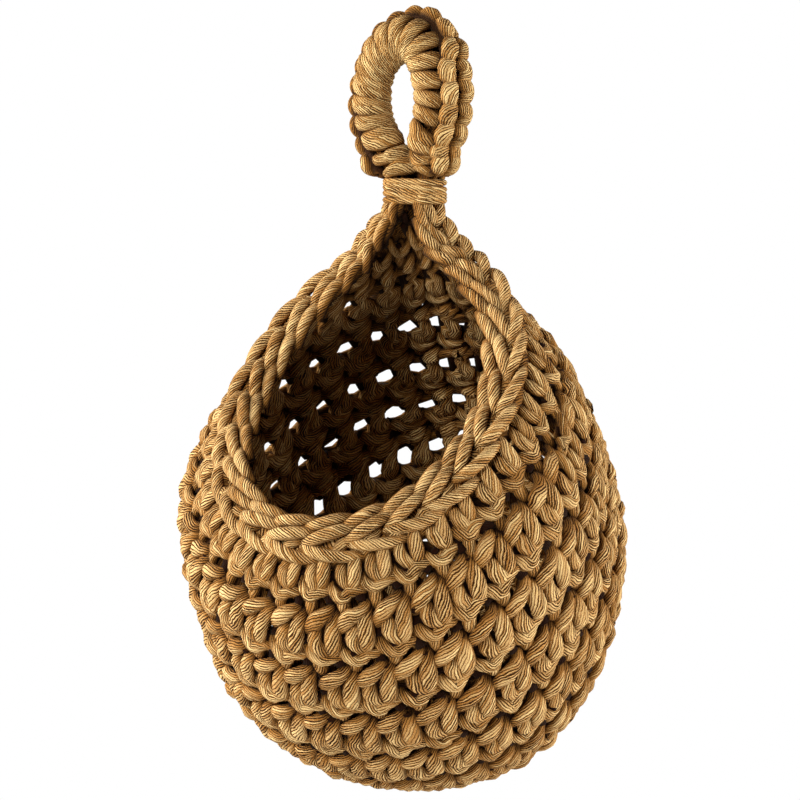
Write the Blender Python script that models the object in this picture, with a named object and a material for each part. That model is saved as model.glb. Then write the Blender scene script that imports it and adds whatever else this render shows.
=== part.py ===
"""Crocheted wall basket in thick cotton cord, hanging by a covered loop.

A round bowl is crocheted in rounds from a tight centre ring. A chained edging
closes its mouth. A loop of cord, covered with stitches, is bound to the back of
the mouth by a wrap, so the bowl hangs tipped forward and its mouth is drawn up
to a point. Metres, +Z up, front towards -Y. The origin is the inner top of the
loop, where a hook carries the basket.
"""
import math

import bmesh
import bpy
import numpy as np

MM = 0.001

# Cord and fabric
FABRIC_THICKNESS = 9.0 * MM
TOUCH_GAP = 0.3 * MM
ROUND_COUNT = 17
MOUTH_ROUND = 18
STITCHES_AROUND = 36

# Bowl, measured from the middle of the neck wrap
BODY_DROP = 224.0 * MM
BODY_HALF_WIDTH = 80.0 * MM
BODY_DEPTH = 181.0 * MM

# Edging round the mouth
RIM_ROUNDS = 1.36
RIM_THICKNESS = 11.5 * MM
ROUND_PITCH = 12.3 * MM
NECK_ROLL_RADIUS = 5.5 * MM

# Neck wrap
WRAP_CORD_DIAMETER = 2.0 * MM
WRAP_PITCH = 2.45 * MM
WRAP_TURNS = 4.5
WRAP_END_BEND = 1.6 * MM
POINTS_PER_TURN = 24

# Hanging loop
LOOP_HEIGHT = 60.0 * MM
LOOP_HALF_WIDTH = 16.4 * MM
CORE_RADIUS = 4.6 * MM
CORE_LEG_OFFSET = 5.6 * MM
COVER_RADIUS = 9.3 * MM
COVER_EDGE_HEIGHT = 1.2 * MM
COVER_STITCH_COUNT = 20

WRAP_HEIGHT = WRAP_TURNS * WRAP_PITCH + WRAP_CORD_DIAMETER
HINGE_DROP = WRAP_HEIGHT / 2 + TOUCH_GAP + NECK_ROLL_RADIUS
HOOK_HEIGHT = LOOP_HEIGHT - COVER_RADIUS

# Lines of the bowl from its centre ring to its mouth, one point for each third
# round: forward or back as a share of the depth, down as a share of the drop.
KNOT_STEP_ROUNDS = 3
POLE_SHARES = (0.258, 0.88)
FRONT_SHARES = ((0.116, 0.987), (-0.083, 1.0), (-0.27, 0.938), (-0.415, 0.817), (-0.514, 0.67), (-0.497, 0.513))
SIDE_SHARES = ((0.215, 0.888), (0.135, 0.812), (0.044, 0.67), (-0.05, 0.55), (-0.17, 0.424), (-0.227, 0.317))
BACK_SHARES = ((0.398, 0.737), (0.478, 0.566), (0.453, 0.424), (0.337, 0.3125), (0.2, 0.1875))
WIDTH_SHARES = (0.455, 0.8, 1.0, 0.99, 0.91, 0.61)
BACK_POINT_SHARE = 0.2
NECK_PINCH_SHARE = 0.36
NECK_PINCH_RISE = 6
NECK_PINCH_SPREAD = 7

# Section of one round: along the round's height, out from its middle
ROUND_SECTION_SHARES = ((0.0, -0.55), (0.0, 0.55), (0.5, 1.0), (1.0, 0.55), (1.0, -0.55), (0.5, -1.0))
CENTRE_HOLE_SHARE = 0.15

# Half of the loop's centre line above the wrap: out, and up as shares
LOOP_OUT_SHARES = (0.45, 0.57, 0.625, 0.77, 0.93, 1.0, 0.95, 0.77, 0.455, 0.0)
LOOP_UP_SHARES = (0.165, 0.22, 0.275, 0.375, 0.49, 0.615, 0.75, 0.87, 0.96, 1.0)
LOOP_STRAIGHT_SHARE = 0.105
LOOP_LEVEL_SHARE = 0.4
LOOP_STEPS_PER_POINT = 2
COVER_START_SHARE = 0.145
COVER_VALLEY_SHARE = 0.87

RIM_SIDES = 10
CORE_SIDES = 10
COVER_SIDES = 12


def clear_scene():
    for obj in list(bpy.data.objects):
        bpy.data.objects.remove(obj, do_unlink=True)


def cotton(name, colour, roughness):
    """Matt cotton cord."""
    material = bpy.data.materials.new(name)
    material.use_nodes = True
    shader = material.node_tree.nodes["Principled BSDF"]
    shader.inputs["Base Color"].default_value = (*colour, 1.0)
    shader.inputs["Roughness"].default_value = roughness
    shader.inputs["Metallic"].default_value = 0.0
    material.diffuse_color = (*colour, 1.0)
    return material


def smooth_through(points, places):
    """Cubic curve through evenly spaced points, each tangent half the step across it."""
    points = np.asarray(points, float)
    slopes = np.gradient(points, axis=0)
    first = np.clip(np.floor(places).astype(int), 0, len(points) - 2)
    share = (places - first)[..., None]
    start, end = points[first], points[first + 1]
    start_slope, end_slope = slopes[first], slopes[first + 1]
    square, cube = share ** 2, share ** 3
    return (
        start * (2 * cube - 3 * square + 1)
        + start_slope * (cube - 2 * square + share)
        + end * (3 * square - 2 * cube)
        + end_slope * (cube - square)
    )


def bowl_lines():
    """Knots of the front, side and back lines from the centre ring to the mouth, in metres."""
    scale = np.array((BODY_DEPTH, -BODY_DROP))
    pole = np.array(POLE_SHARES) * scale
    neck = np.array((0.0, -HINGE_DROP))
    front = np.vstack([pole, np.array(FRONT_SHARES) * scale])
    side = np.vstack([pole, np.array(SIDE_SHARES) * scale])
    back = np.vstack([pole, np.array(BACK_SHARES) * scale, neck])
    width = np.append(0.0, np.array(WIDTH_SHARES) * BODY_HALF_WIDTH)
    return front, side, back, width


def bowl_point(angle, rounds):
    """Middle of the fabric. The angle is 0 at the front, and rounds are counted from the centre ring.

    Each round is a closed curve through its front, side and back points. Its back
    half is drawn to a point, and beside the neck the stitches are pinched together.
    """
    angle, rounds = np.broadcast_arrays(np.asarray(angle, float), np.asarray(rounds, float))
    front, side, back, width = bowl_lines()
    knots = len(front) - 1
    place = rounds / KNOT_STEP_ROUNDS
    through_pole = np.vstack([back[:0:-1], front])
    front_yz = smooth_through(through_pole, knots + place)
    back_yz = smooth_through(through_pole, knots - place)
    side_yz = smooth_through(np.vstack([side[:0:-1], side]), knots + place)
    half = smooth_through(np.append(-width[:0:-1], width)[:, None], knots + place)[..., 0]
    share = rounds / MOUTH_ROUND
    forward = np.cos(angle)
    pointed = np.abs(forward) ** (1 + BACK_POINT_SHARE * share)
    forward = np.where(forward > 0, forward, -pointed)[..., None]
    pinch = share ** NECK_PINCH_RISE * ((1 - np.cos(angle)) / 2) ** NECK_PINCH_SPREAD
    across = half * np.sin(angle) * (1 - NECK_PINCH_SHARE * pinch)
    middle = (front_yz + back_yz) / 2
    yz = side_yz + (front_yz - back_yz) / 2 * forward + (middle - side_yz) * forward ** 2
    neck_height = -HOOK_HEIGHT
    return np.stack([across, yz[..., 0], yz[..., 1] + neck_height], axis=-1)


def bowl_normal(angle, rounds):
    """Outward direction of the fabric, from small steps around and up it."""
    step = math.radians(1.0)
    around = bowl_point(angle + step, rounds) - bowl_point(angle - step, rounds)
    up = bowl_point(angle, rounds + step) - bowl_point(angle, rounds - step)
    normal = np.cross(around, up)
    return normal / np.linalg.norm(normal, axis=-1, keepdims=True)


def add_mesh(name, points, faces, material, smooth=True):
    """One closed body with its faces turned outwards."""
    mesh = bpy.data.meshes.new(name)
    mesh.from_pydata([tuple(point) for point in points], [], faces)
    shape = bmesh.new()
    shape.from_mesh(mesh)
    bmesh.ops.recalc_face_normals(shape, faces=shape.faces)
    shape.to_mesh(mesh)
    shape.free()
    if smooth:
        mesh.shade_smooth()
    mesh.materials.append(material)
    obj = bpy.data.objects.new(name, mesh)
    bpy.context.collection.objects.link(obj)
    return obj


def ring_faces(stations, sides, closed):
    """Quads between neighbouring sections of a tube, and end caps where it is open."""
    faces = []
    for station in range(stations if closed else stations - 1):
        here, there = station * sides, (station + 1) % stations * sides
        for side in range(sides):
            other = (side + 1) % sides
            faces.append((here + side, here + other, there + other, there + side))
    if not closed:
        faces.append(tuple(range(sides)))
        faces.append(tuple(range((stations - 1) * sides, stations * sides)))
    return faces


def stitch_angles():
    return np.arange(STITCHES_AROUND) * math.tau / STITCHES_AROUND


def rim_fit():
    """For each stitch angle: the rim's middle, its two half sizes and the round its lower edge meets."""
    angle = stitch_angles()
    neck = ((1 - np.cos(angle)) / 2) ** NECK_PINCH_SPREAD
    middle_round = ROUND_COUNT + RIM_ROUNDS / 2
    middle_round = middle_round + (MOUTH_ROUND - middle_round) * neck
    middle = bowl_point(angle, middle_round)
    across = middle - bowl_point(angle, ROUND_COUNT)
    height = np.linalg.norm(across, axis=1)
    half_width = height * (1 - neck) + NECK_ROLL_RADIUS * neck - TOUCH_GAP
    half_thickness = RIM_THICKNESS / 2 * (1 - neck) + NECK_ROLL_RADIUS * neck
    clear = height - half_width - TOUCH_GAP
    lower_round = ROUND_COUNT + clear / height * (middle_round - ROUND_COUNT)
    return middle, middle_round, half_width, half_thickness, lower_round


def add_round(number, material):
    """One round of stitches: a closed band with a crowned face on both sides."""
    trim = TOUCH_GAP / 2 / ROUND_PITCH
    low = CENTRE_HOLE_SHARE if number == 1 else number - 1 + trim
    high = rim_fit()[-1] if number == ROUND_COUNT else np.full(STITCHES_AROUND, float(number))
    high = (high - trim)[:, None]
    along, out = np.array(ROUND_SECTION_SHARES).T
    angle = stitch_angles()[:, None]
    rounds = low + along * (high - low)
    crown = (out * FABRIC_THICKNESS / 2)[:, None]
    points = bowl_point(angle, rounds) + crown * bowl_normal(angle, rounds)
    faces = ring_faces(STITCHES_AROUND, len(along), closed=True)
    return add_mesh(f"round_{number:02d}", points.reshape(-1, 3), faces, material)


def add_rim(material):
    """Chained edging on the last round, drawn in to a thin roll under the wrap."""
    angle = stitch_angles()
    middle, middle_round, half_width, half_thickness, _ = rim_fit()
    across = middle - bowl_point(angle, ROUND_COUNT)
    up = across / np.linalg.norm(across, axis=1, keepdims=True)
    out = bowl_normal(angle, middle_round)
    turn = np.arange(RIM_SIDES) * math.tau / RIM_SIDES
    points = (
        middle[:, None]
        + (half_width[:, None] * np.cos(turn))[..., None] * up[:, None]
        + (half_thickness[:, None] * np.sin(turn))[..., None] * out[:, None]
    )
    faces = ring_faces(len(angle), RIM_SIDES, closed=True)
    return add_mesh("rim_edging", points.reshape(-1, 3), faces, material)


def loop_line():
    """Centre line of the whole loop in the XZ plane, from one leg's end to the other's."""
    bottom = (CORE_LEG_OFFSET, -WRAP_HEIGHT / 2)
    straight = (CORE_LEG_OFFSET, LOOP_STRAIGHT_SHARE * LOOP_HEIGHT)
    out = np.array(LOOP_OUT_SHARES) * LOOP_HALF_WIDTH
    up = np.array(LOOP_UP_SHARES) * LOOP_HEIGHT
    right = np.vstack([bottom, straight, np.column_stack([out, up])])
    left = right[-2::-1] * np.array((-1.0, 1.0))
    knots = np.vstack([right, left])
    places = np.arange((len(knots) - 1) * LOOP_STEPS_PER_POINT + 1) / LOOP_STEPS_PER_POINT
    line = smooth_through(knots, places)
    return np.column_stack([line[:, 0], np.zeros(len(line)), line[:, 1] - HOOK_HEIGHT])


def sweep_sections(line, radius_out, radius_deep, sides, outer_ridge=None):
    """Elliptic sections along a line in the XZ plane, with a ridge on the loop's outside.

    They stand square to the line, and turn level where it comes down to the wrap.
    """
    along = np.gradient(line, axis=0)
    height = (line[:, 2] + HOOK_HEIGHT) / LOOP_HEIGHT
    along[:, 0] *= np.clip(height / LOOP_LEVEL_SHARE, 0.0, 1.0)
    along /= np.linalg.norm(along, axis=1, keepdims=True)
    deep = np.array((0.0, 1.0, 0.0))
    out = np.cross(along, deep)
    turn = np.arange(sides) * math.tau / sides
    ridge = np.zeros_like(radius_out) if outer_ridge is None else outer_ridge
    reach = radius_out[:, None] + ridge[:, None] * np.clip(np.cos(turn), 0, 1) ** 3
    return (
        line[:, None]
        + (reach * np.cos(turn))[..., None] * out[:, None]
        + (radius_deep[:, None] * np.sin(turn))[..., None] * deep
    )


def add_loop_core(material):
    """Bundle of cords bent into the loop, with both tails side by side in the wrap."""
    line = loop_line()
    radius = np.full(len(line), CORE_RADIUS)
    points = sweep_sections(line, radius, radius, CORE_SIDES)
    faces = ring_faces(len(line), CORE_SIDES, closed=False)
    return add_mesh("loop_core", points.reshape(-1, 3), faces, material)


def cover_line():
    """The part of the loop's line that is covered, with two stations for each stitch."""
    line = loop_line()
    start = COVER_START_SHARE * LOOP_HEIGHT - HOOK_HEIGHT
    covered = line[line[:, 2] >= start - TOUCH_GAP]
    length = np.append(0.0, np.cumsum(np.linalg.norm(np.diff(covered, axis=0), axis=1)))
    places = np.linspace(0.0, length[-1], 2 * COVER_STITCH_COUNT + 1)
    return np.column_stack([np.interp(places, length, covered[:, axis]) for axis in range(3)])


def add_loop_cover(material):
    """Stitches worked over the core: a ribbed sleeve, pressed flat where its limbs meet."""
    line = cover_line()
    valley = np.where(np.arange(len(line)) % 2 == 0, COVER_VALLEY_SHARE, 1.0)
    outer = COVER_RADIUS * valley
    height = (line[:, 2] + HOOK_HEIGHT) / LOOP_HEIGHT
    widest = LOOP_UP_SHARES[LOOP_OUT_SHARES.index(1.0)]
    pressed = np.abs(line[:, 0]) - TOUCH_GAP
    radius = np.where(height < widest, np.minimum(outer, pressed), outer)
    bore = np.full(len(line), CORE_RADIUS + TOUCH_GAP)
    ridge = COVER_EDGE_HEIGHT * radius / COVER_RADIUS
    outside = sweep_sections(line, radius, radius, COVER_SIDES, ridge).reshape(-1, 3)
    inside = sweep_sections(line, bore, bore, COVER_SIDES).reshape(-1, 3)
    count = len(outside)
    faces = ring_faces(len(line), COVER_SIDES, closed=False)[:-2]
    faces += [tuple(corner + count for corner in face) for face in faces]
    for first in (0, count - COVER_SIDES):
        for side in range(COVER_SIDES):
            here, there = first + side, first + (side + 1) % COVER_SIDES
            faces.append((here, there, there + count, here + count))
    return add_mesh("loop_cover", np.vstack([outside, inside]), faces, material)


def racetrack(turn):
    """Place on the oval round both core legs, for a turn counted from the middle of the back.

    The oval is two half circles joined by straight runs, followed at an even pace.
    """
    reach = CORE_RADIUS + TOUCH_GAP + WRAP_CORD_DIAMETER / 2
    half_circle = math.pi * reach
    half_way = 2 * CORE_LEG_OFFSET + half_circle
    travel = np.mod(turn, 1.0) * 2 * half_way
    side = np.where(travel < half_way, 1.0, -1.0)
    travel = np.mod(travel, half_way)
    bend = np.clip(travel - CORE_LEG_OFFSET, 0.0, half_circle) / reach
    before = np.minimum(travel, CORE_LEG_OFFSET)
    after = np.maximum(travel - CORE_LEG_OFFSET - half_circle, 0.0)
    x = before - after + reach * np.sin(bend)
    return side * x, side * reach * np.cos(bend)


def wrap_end(x_side, y_side, height):
    """The cord's end turns in between the legs and runs straight for one cord diameter."""
    reach = CORE_RADIUS + TOUCH_GAP + WRAP_CORD_DIAMETER / 2
    inner = reach - WRAP_END_BEND
    points = [(0.0, y_side * (inner - WRAP_CORD_DIAMETER), height)]
    for quarter in (0.0, 1 / 3, 2 / 3, 1.0):
        bend = quarter * math.tau / 4
        x = WRAP_END_BEND * (1 - math.cos(bend)) * x_side
        points.append((x, y_side * (inner + WRAP_END_BEND * math.sin(bend)), height))
    return points


def wrap_route():
    """Helix up the neck with both ends tucked in between the core's legs."""
    low = -HOOK_HEIGHT - WRAP_HEIGHT / 2 + WRAP_CORD_DIAMETER / 2
    count = int(WRAP_TURNS * POINTS_PER_TURN)
    turns = np.arange(1, count) / POINTS_PER_TURN
    x, y = racetrack(turns)
    helix = np.column_stack([x, y, low + turns * WRAP_PITCH])
    clear = np.abs(helix[:, 0]) > 2 * WRAP_END_BEND
    first, last = np.argmax(clear), len(clear) - np.argmax(clear[::-1])
    helix = helix[first:last]
    start = wrap_end(1, 1, low)
    end = wrap_end(math.copysign(1, helix[-1, 0]), -1, low + WRAP_TURNS * WRAP_PITCH)[::-1]
    return np.vstack([start, helix, end])


def least_gap_to_itself(route, diameter):
    """Smallest gap between parts of the cord more than half a turn apart."""
    apart = np.linalg.norm(route[:, None] - route[None], axis=2)
    index = np.arange(len(route))
    near = np.abs(index[:, None] - index[None]) < POINTS_PER_TURN // 2
    apart[near] = np.inf
    return apart.min() - diameter


def add_neck_wrap(material):
    """Cord wound round the legs of the loop and the back of the mouth."""
    route = wrap_route()
    curve = bpy.data.curves.new("neck_wrap", "CURVE")
    curve.dimensions = "3D"
    curve.bevel_depth = WRAP_CORD_DIAMETER / 2
    curve.bevel_resolution = 1
    curve.use_fill_caps = True
    spline = curve.splines.new("POLY")
    spline.points.add(len(route) - 1)
    for point, place in zip(spline.points, route):
        point.co = (*place, 1.0)
    curve.materials.append(material)
    obj = bpy.data.objects.new("neck_wrap", curve)
    bpy.context.collection.objects.link(obj)
    gap = least_gap_to_itself(route, WRAP_CORD_DIAMETER)
    print(f"neck_wrap: least gap to itself {gap / MM:.2f} mm")
    return obj


def build():
    clear_scene()
    body_cotton = cotton("cotton_body", (0.47, 0.275, 0.1), 0.9)
    rim_cotton = cotton("cotton_rim", (0.49, 0.29, 0.105), 0.88)
    wrap_cotton = cotton("cotton_wrap", (0.5, 0.3, 0.11), 0.85)
    loop_cotton = cotton("cotton_loop", (0.48, 0.28, 0.1), 0.9)
    core_cotton = cotton("cotton_core", (0.42, 0.24, 0.09), 0.92)
    for number in range(1, ROUND_COUNT + 1):
        add_round(number, body_cotton)
    add_rim(rim_cotton)
    add_neck_wrap(wrap_cotton)
    add_loop_core(core_cotton)
    add_loop_cover(loop_cotton)


build()
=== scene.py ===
"""A round basket crocheted in thick cotton cord, hanging from a stitched loop.

The bowl is worked in rounds from a centre ring. Its mouth is edged with a chain,
and one point of that chain is bound to the loop, so the basket hangs tipped
forward. Each section below makes one piece, or one group of like pieces, in the
order in which they are worked. Lengths are in metres, except where a comment says
that they are in millimetres.
"""
import math

import bpy
import numpy as np
from mathutils import Matrix


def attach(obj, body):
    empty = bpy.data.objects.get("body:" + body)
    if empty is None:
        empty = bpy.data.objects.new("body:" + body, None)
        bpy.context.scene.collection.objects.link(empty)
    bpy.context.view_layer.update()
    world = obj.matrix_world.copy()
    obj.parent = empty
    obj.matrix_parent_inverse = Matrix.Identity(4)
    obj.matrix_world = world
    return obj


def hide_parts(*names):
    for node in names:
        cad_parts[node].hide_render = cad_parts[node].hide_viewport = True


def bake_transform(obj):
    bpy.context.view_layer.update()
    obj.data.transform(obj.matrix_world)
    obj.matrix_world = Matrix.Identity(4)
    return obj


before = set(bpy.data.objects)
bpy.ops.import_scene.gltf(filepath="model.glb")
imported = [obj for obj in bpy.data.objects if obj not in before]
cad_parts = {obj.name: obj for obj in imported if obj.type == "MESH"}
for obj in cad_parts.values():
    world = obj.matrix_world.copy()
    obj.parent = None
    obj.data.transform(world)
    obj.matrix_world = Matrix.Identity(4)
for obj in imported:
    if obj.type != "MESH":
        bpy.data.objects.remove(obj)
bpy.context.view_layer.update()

# Seventeen rounds of single crochet in soft cotton cord make the bowl. Odd rounds
# show their V stitches outside and even rounds show theirs inside, because the
# work is turned after each round. Small holes stay open between the rounds.
MM = 0.001
NECK_HEIGHT = -0.0507
HINGE_DROP = 0.0123
MOUTH_ROUND = 18
ROUNDS_PER_KNOT = 3
BOWL_DEPTH_AND_RISE = np.array((0.181, -0.224))
BOWL_HALF_WIDTH = 0.08
BACK_POINT = 0.2
NECK_PINCH = 0.36

# Knots of the bowl's lines in shares of its depth and rise, one every three rounds from the centre ring.
pole_share = (0.258, 0.88)
front_shares = (
    (0.116, 0.987), (-0.083, 1.0), (-0.27, 0.938), (-0.415, 0.817), (-0.514, 0.67), (-0.497, 0.513),
)
side_shares = (
    (0.215, 0.888), (0.135, 0.812), (0.044, 0.67), (-0.05, 0.55), (-0.17, 0.424), (-0.227, 0.317),
)
back_shares = ((0.398, 0.737), (0.478, 0.566), (0.453, 0.424), (0.337, 0.3125), (0.2, 0.1875))
half_width_shares = (0.0, 0.455, 0.8, 1.0, 0.99, 0.91, 0.61)
front_line = BOWL_DEPTH_AND_RISE * np.array((pole_share, *front_shares))
side_line = BOWL_DEPTH_AND_RISE * np.array((pole_share, *side_shares))
back_line = np.vstack([BOWL_DEPTH_AND_RISE * np.array((pole_share, *back_shares)), (0.0, -HINGE_DROP)])
half_widths = BOWL_HALF_WIDTH * np.array(half_width_shares)

# The same lines run from one edge of the mouth to the other, over the pole.
POLE_KNOT = len(front_shares)
back_to_front = np.vstack([back_line[:0:-1], front_line])
side_to_side = np.vstack([side_line[:0:-1], side_line])
width_to_width = np.append(-half_widths[:0:-1], half_widths)[:, None]


def smooth_through(points, places):
    """Cubic curve through evenly spaced points, each tangent half the step across it."""
    slopes = np.gradient(points, axis=0)
    first = np.clip(np.floor(places).astype(int), 0, len(points) - 2)
    share = (places - first)[..., None]
    square, cube = share ** 2, share ** 3
    return (
        points[first] * (2 * cube - 3 * square + 1)
        + slopes[first] * (cube - 2 * square + share)
        + points[first + 1] * (3 * square - 2 * cube)
        + slopes[first + 1] * (cube - square)
    )


def rearward(angle):
    """0 at the front of the bowl and 1 at its back: half of 1 - cos(angle)."""
    return (1 - np.cos(angle)) / 2


def bell(values, middle, spread):
    """1 at the middle, and exp(-(distance / spread) squared) to both sides of it."""
    return np.exp(-((values - middle) / spread) ** 2)


def bowl_point(angle, rounds):
    """Middle of the fabric. The angle is 0 at the front, and rounds count from the centre ring.

    Height and depth follow side + half the front-to-back step x cos(angle) + the bow of
    the round x cos squared. Width is the half width x sin(angle), pinched beside the neck.
    """
    angle, rounds = np.broadcast_arrays(angle, rounds)
    knots = rounds / ROUNDS_PER_KNOT
    front = smooth_through(back_to_front, POLE_KNOT + knots)
    back = smooth_through(back_to_front, POLE_KNOT - knots)
    side = smooth_through(side_to_side, POLE_KNOT + knots)
    half = smooth_through(width_to_width, POLE_KNOT + knots)[..., 0]
    share = rounds / MOUTH_ROUND
    forward = np.cos(angle)
    pointed = np.abs(forward) ** (1 + BACK_POINT * share)
    forward = np.where(forward > 0, forward, -pointed)[..., None]
    pinch = NECK_PINCH * share ** 6 * rearward(angle) ** 7
    across = half * np.sin(angle) * (1 - pinch)
    bow = (front + back) / 2 - side
    depth_height = side + (front - back) / 2 * forward + bow * forward ** 2
    return np.stack([across, depth_height[..., 0], depth_height[..., 1] + NECK_HEIGHT], axis=-1)


def unit(vectors):
    """Vectors divided by their own lengths."""
    return vectors / np.maximum(np.linalg.norm(vectors, axis=-1, keepdims=True), 1e-12)


def bowl_normal(angle, rounds):
    """Outward direction: the cross product of small steps around the bowl and up it."""
    step = 0.02
    around = bowl_point(angle + step, rounds) - bowl_point(angle - step, rounds)
    up = bowl_point(angle, rounds + step) - bowl_point(angle, rounds - step)
    return unit(np.cross(around, up))


BACK_DRAWN_UP = np.array((0.0, -0.0025, 0.01))
SHOULDER_PUSHED_OUT = np.array((0.0046, 0.0, 0.0016))
SHOULDER_ANGLE, SHOULDER_SPREAD = 2.15, 0.42
SHOULDER_FIRST_ROUND, SHOULDER_FULL_ROUND = 13, 16
SIDE_PUSHED_IN = np.array((-0.002, 0.0, 0.0))
SIDE_ANGLE, SIDE_SPREAD = 1.7, 0.6
SIDE_ROUND, SIDE_ROUND_SPREAD = 10, 1.6


def cloth_point(angle, rounds):
    """Middle of the fabric as it hangs: the bowl, drawn up to the wrap and a little out of round.

    The back of the mouth is drawn up where share of the rounds ^ 24 x rearward ^ 30 is large.
    The right shoulder is pushed out and the right side in, each by a bell round its place.
    """
    drawn = (np.abs(rounds) / MOUTH_ROUND) ** 24 * rearward(angle) ** 30
    shoulder = bell(angle, SHOULDER_ANGLE, SHOULDER_SPREAD)
    shoulder = shoulder * np.interp(rounds, (SHOULDER_FIRST_ROUND, SHOULDER_FULL_ROUND), (0.0, 1.0))
    side = bell(angle, SIDE_ANGLE, SIDE_SPREAD) * bell(rounds, SIDE_ROUND, SIDE_ROUND_SPREAD)
    pushes = ((drawn, BACK_DRAWN_UP), (shoulder, SHOULDER_PUSHED_OUT), (side, SIDE_PUSHED_IN))
    return bowl_point(angle, rounds) + sum(share[..., None] * push for share, push in pushes)


FIRST_PLACE = 1.28
ROUND_SLIP = 0.04
FRONT_WIDENING = 0.04


def stitch_angle(place, rounds, count):
    """Angle of a place counted in stitches: its share of the turn + a small sine of that turn.

    The sine makes the stitches a little wider in front. Each round slips back a little
    against the one below it, so the columns of stitches lean.
    """
    turn = math.tau * (place + FIRST_PLACE - ROUND_SLIP * rounds) / count
    return turn + FRONT_WIDENING * np.sin(turn)


def cell_size(place, rounds, count):
    """Millimetres covered by one stitch and by one round at a place on the bowl."""
    step = 0.05
    angle = stitch_angle(place, rounds, count)
    ahead = bowl_point(stitch_angle(place + step, rounds, count), rounds)
    behind = bowl_point(stitch_angle(place - step, rounds, count), rounds)
    above, below = bowl_point(angle, rounds + step), bowl_point(angle, rounds - step)
    return [np.linalg.norm(span, axis=-1) / (2 * step * MM) for span in (ahead - behind, above - below)]


# A hole's place in stitches, its radius and growth in millimetres, and a cord's share kept off it.
HOLE_PLACE = 0.08
HOLE_RADIUS = 1.0
HOLE_GROWTH_AT_BACK = 2.9
CORD_SHARE = 0.44


def clear_of_holes(place, rounds, out, wide, count):
    """Move cords off the small slanting hole beside each stitch of every second round.

    A distance r from the hole's axis becomes the cube root of r^3 + R^3, where R is the
    hole's radius plus most of half the cord's width, all in millimetres. The holes are wider
    at the back, where their axes climb as they pass inwards and lean to the side. The climb
    grows with the round and the lean with the angle.
    """
    stitch, height = cell_size(place, rounds, count)
    angle = stitch_angle(place, rounds, count)
    back = rearward(angle)
    climb = np.clip(0.35 + 0.155 * (rounds - 8), 0.3, 1.6) * back
    lean = np.clip(1.1 * (angle - 3.45), -0.4, 0.9) * back
    aside = (np.mod(place - HOLE_PLACE + lean * out / stitch + 0.5, 1.0) - 0.5) * stitch
    up = (np.mod(rounds + climb * out / height + 1.0, 2.0) - 1.0) * height
    distance = np.hypot(aside, up) + 1e-6
    clear = HOLE_RADIUS + HOLE_GROWTH_AT_BACK * back + CORD_SHARE * wide
    fade = np.clip(1.25 * (1 - (2 * distance / stitch) ** 4), 0.0, 1.0)
    push = ((distance ** 3 + clear ** 3) ** (1 / 3) / distance - 1) * fade
    return place + push * aside / stitch, rounds + push * up / height


def length_along(points):
    """Length from the first point of a line to each point: the running sum of its steps."""
    steps = np.linalg.norm(np.diff(points, axis=-2), axis=-1)
    return np.concatenate([np.zeros((*steps.shape[:-1], 1)), np.cumsum(steps, axis=-1)], axis=-1)


def joined(groups):
    """Groups of cords as one: every value spread over its group's stations, then stacked."""
    spread = []
    for centre, facing, width, thick, tone, depth in groups:
        width, thick, depth = (np.broadcast_to(value, centre.shape[:2]) for value in (width, thick, depth))
        spread.append((centre, np.broadcast_to(facing, centre.shape), width, thick, tone, depth))
    return [np.concatenate(values) for values in zip(*spread)]


# Each cord has its own cell of the atlas, and all the caps share a small patch in one corner.
CORD_SIDES = 8
CORD_WIDTH = 0.006
ATLAS_COLUMNS = 16
ATLAS_MARGIN = 0.04
CAP_PATCH = 0.002
CAP_PLACE = 0.003
# In metres: the depth at which painted shade on deep cords starts, and the further depth over which it
# becomes full.
SHADE_START = 0.0006
SHADE_DEPTH = 0.004


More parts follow.
